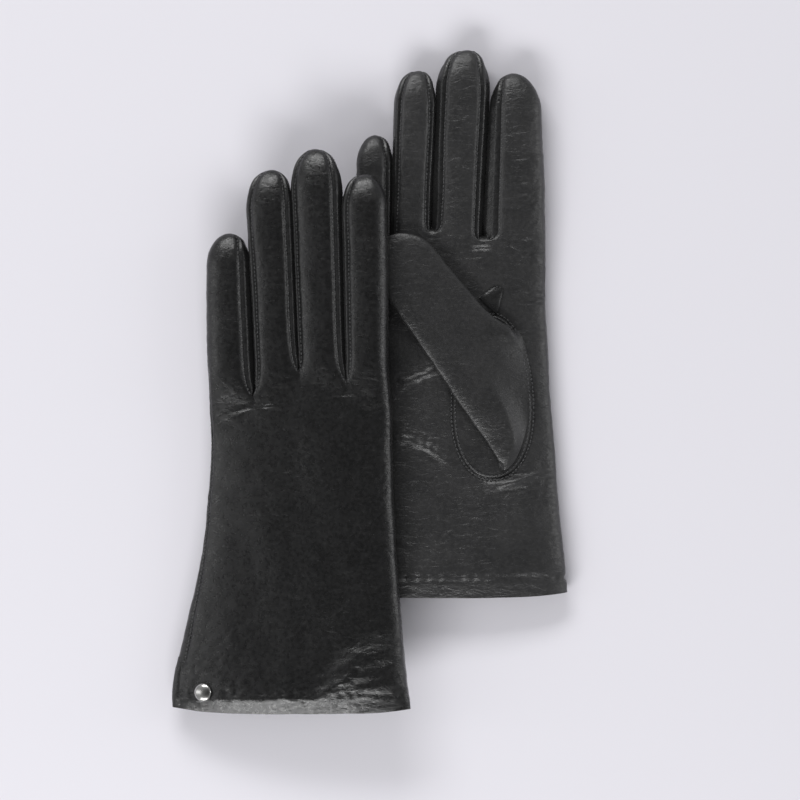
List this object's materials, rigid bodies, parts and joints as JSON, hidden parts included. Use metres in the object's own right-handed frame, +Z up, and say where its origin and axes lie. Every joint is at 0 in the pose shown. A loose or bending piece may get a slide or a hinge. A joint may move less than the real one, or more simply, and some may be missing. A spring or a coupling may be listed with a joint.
{
  "type": "leather gloves",
  "caption": "Pair of lined leather dress gloves, one lying over the other, with fourchettes, thumbs set in oval openings, and vents closed by press studs.",
  "frame": {"origin": "on the table under the middle of the pair's outline", "axes": "+Z up, +Y towards the fingertips, +X towards the right edge of the lower glove"},
  "size_m": [0.1809, 0.2958, 0.0301],
  "materials": {
    "black_leather": "satin, fine grained",
    "knitted_lining": "matt knit",
    "nickel": "bright plated"
  },
  "bodies": {
    "right_hand": {"right_trank_hand": "black_leather", "right_hand_lining": "knitted_lining", "right_thumb_gusset": "black_leather", "right_thumb_quirk": "black_leather", "right_vent_underlap": "black_leather", "right_press_stud": "nickel", "right_press_post": "nickel"},
    "left_hand": {"left_trank_hand": "black_leather", "left_hand_lining": "knitted_lining", "left_thumb_gusset": "black_leather", "left_thumb_quirk": "black_leather", "left_vent_underlap": "black_leather", "left_press_stud": "nickel", "left_press_post": "nickel"},
    "left_little_finger": {"left_little_trank": "black_leather", "left_little_lining": "knitted_lining", "left_little_fourchette_inner": "black_leather"},
    "left_ring_finger": {"left_ring_trank": "black_leather", "left_ring_lining": "knitted_lining", "left_ring_fourchette_outer": "black_leather", "left_ring_fourchette_inner": "black_leather"},
    "left_middle_finger": {"left_middle_trank": "black_leather", "left_middle_lining": "knitted_lining", "left_middle_fourchette_outer": "black_leather", "left_middle_fourchette_inner": "black_leather"},
    "left_index_finger": {"left_index_trank": "black_leather", "left_index_lining": "knitted_lining", "left_index_fourchette_outer": "black_leather"},
    "left_thumb_sleeve": {"left_thumb": "black_leather", "left_thumb_lining": "knitted_lining"},
    "left_vent_corner": {"left_vent_flap": "black_leather", "left_press_cap": "nickel", "left_press_socket": "nickel"},
    "right_little_finger": {"right_little_trank": "black_leather", "right_little_lining": "knitted_lining", "right_little_fourchette_inner": "black_leather"},
    "right_ring_finger": {"right_ring_trank": "black_leather", "right_ring_lining": "knitted_lining", "right_ring_fourchette_outer": "black_leather", "right_ring_fourchette_inner": "black_leather"},
    "right_middle_finger": {"right_middle_trank": "black_leather", "right_middle_lining": "knitted_lining", "right_middle_fourchette_outer": "black_leather", "right_middle_fourchette_inner": "black_leather"},
    "right_index_finger": {"right_index_trank": "black_leather", "right_index_lining": "knitted_lining", "right_index_fourchette_outer": "black_leather"},
    "right_thumb_sleeve": {"right_thumb": "black_leather", "right_thumb_lining": "knitted_lining"},
    "right_vent_corner": {"right_vent_flap": "black_leather", "right_press_cap": "nickel", "right_press_socket": "nickel"}
  },
  "joints": [
    {"name": "left_glove_lift", "type": "slide", "parent": "right_hand", "child": "left_hand", "axis": [0, 0, 1], "range_m": [0, 0.2]},
    {"name": "left_little_bend", "type": "hinge", "parent": "left_hand", "child": "left_little_finger", "pos_m": [-0.06286, 0.0074, 0.01924], "axis": [0.9882, 0, 0.1532], "range_deg": [0, 65], "stiffness_Nm_per_rad": 0.02},
    {"name": "left_ring_bend", "type": "hinge", "parent": "left_hand", "child": "left_ring_finger", "pos_m": [-0.0422, 0.0184, 0.02244], "axis": [0.9882, 0, 0.1532], "range_deg": [0, 65], "stiffness_Nm_per_rad": 0.02},
    {"name": "left_middle_bend", "type": "hinge", "parent": "left_hand", "child": "left_middle_finger", "pos_m": [-0.02135, 0.0204, 0.02567], "axis": [0.9882, 0, 0.1532], "range_deg": [0, 65], "stiffness_Nm_per_rad": 0.02},
    {"name": "left_index_bend", "type": "hinge", "parent": "left_hand", "child": "left_index_finger", "pos_m": [-0.0009, 0.0164, 0.02884], "axis": [0.9882, 0, 0.1532], "range_deg": [0, 65], "stiffness_Nm_per_rad": 0.02},
    {"name": "left_thumb_unfold", "type": "hinge", "parent": "left_hand", "child": "left_thumb_sleeve", "pos_m": [-0.00387, -0.0606, 0.01538], "axis": [-0.1461, -0.989, -0.0226], "range_deg": [0, 80], "stiffness_Nm_per_rad": 0.02},
    {"name": "left_vent_open", "type": "hinge", "parent": "left_hand", "child": "left_vent_corner", "pos_m": [-0.0634, -0.1361, 0.01976], "axis": [0.1842, 0.9826, -0.0232], "range_deg": [0, 70], "stiffness_Nm_per_rad": 0.01},
    {"name": "right_little_bend", "type": "hinge", "parent": "right_hand", "child": "right_little_finger", "pos_m": [0.0033, 0.0527, 0.01105], "axis": [1, 0, 0], "range_deg": [0, 60], "stiffness_Nm_per_rad": 0.02},
    {"name": "right_ring_bend", "type": "hinge", "parent": "right_hand", "child": "right_ring_finger", "pos_m": [0.0209, 0.0717, 0.01255], "axis": [1, 0, 0], "range_deg": [0, 65], "stiffness_Nm_per_rad": 0.02},
    {"name": "right_middle_bend", "type": "hinge", "parent": "right_hand", "child": "right_middle_finger", "pos_m": [0.0414, 0.0727, 0.01255], "axis": [1, 0, 0], "range_deg": [0, 65], "stiffness_Nm_per_rad": 0.02},
    {"name": "right_index_bend", "type": "hinge", "parent": "right_hand", "child": "right_index_finger", "pos_m": [0.0667, 0.0697, 0.01255], "axis": [1, 0, 0], "range_deg": [0, 65], "stiffness_Nm_per_rad": 0.02},
    {"name": "right_thumb_unfold", "type": "hinge", "parent": "right_hand", "child": "right_thumb_sleeve", "pos_m": [0.0641, -0.0093, 0.0123], "axis": [0.1478, 0.989, 0], "range_deg": [0, 80], "stiffness_Nm_per_rad": 0.02},
    {"name": "right_vent_open", "type": "hinge", "parent": "right_hand", "child": "right_vent_corner", "pos_m": [0.00235, -0.0848, 0.0024], "axis": [-0.1639, -0.9865, 0], "range_deg": [0, 50], "stiffness_Nm_per_rad": 0.01}
  ],
  "couplings": [
    {"joint": "right_little_bend", "follows": "left_index_bend", "ratio": 0.9},
    {"joint": "left_thumb_unfold", "follows": "left_glove_lift", "rad_per_m": 6.98}
  ]
}
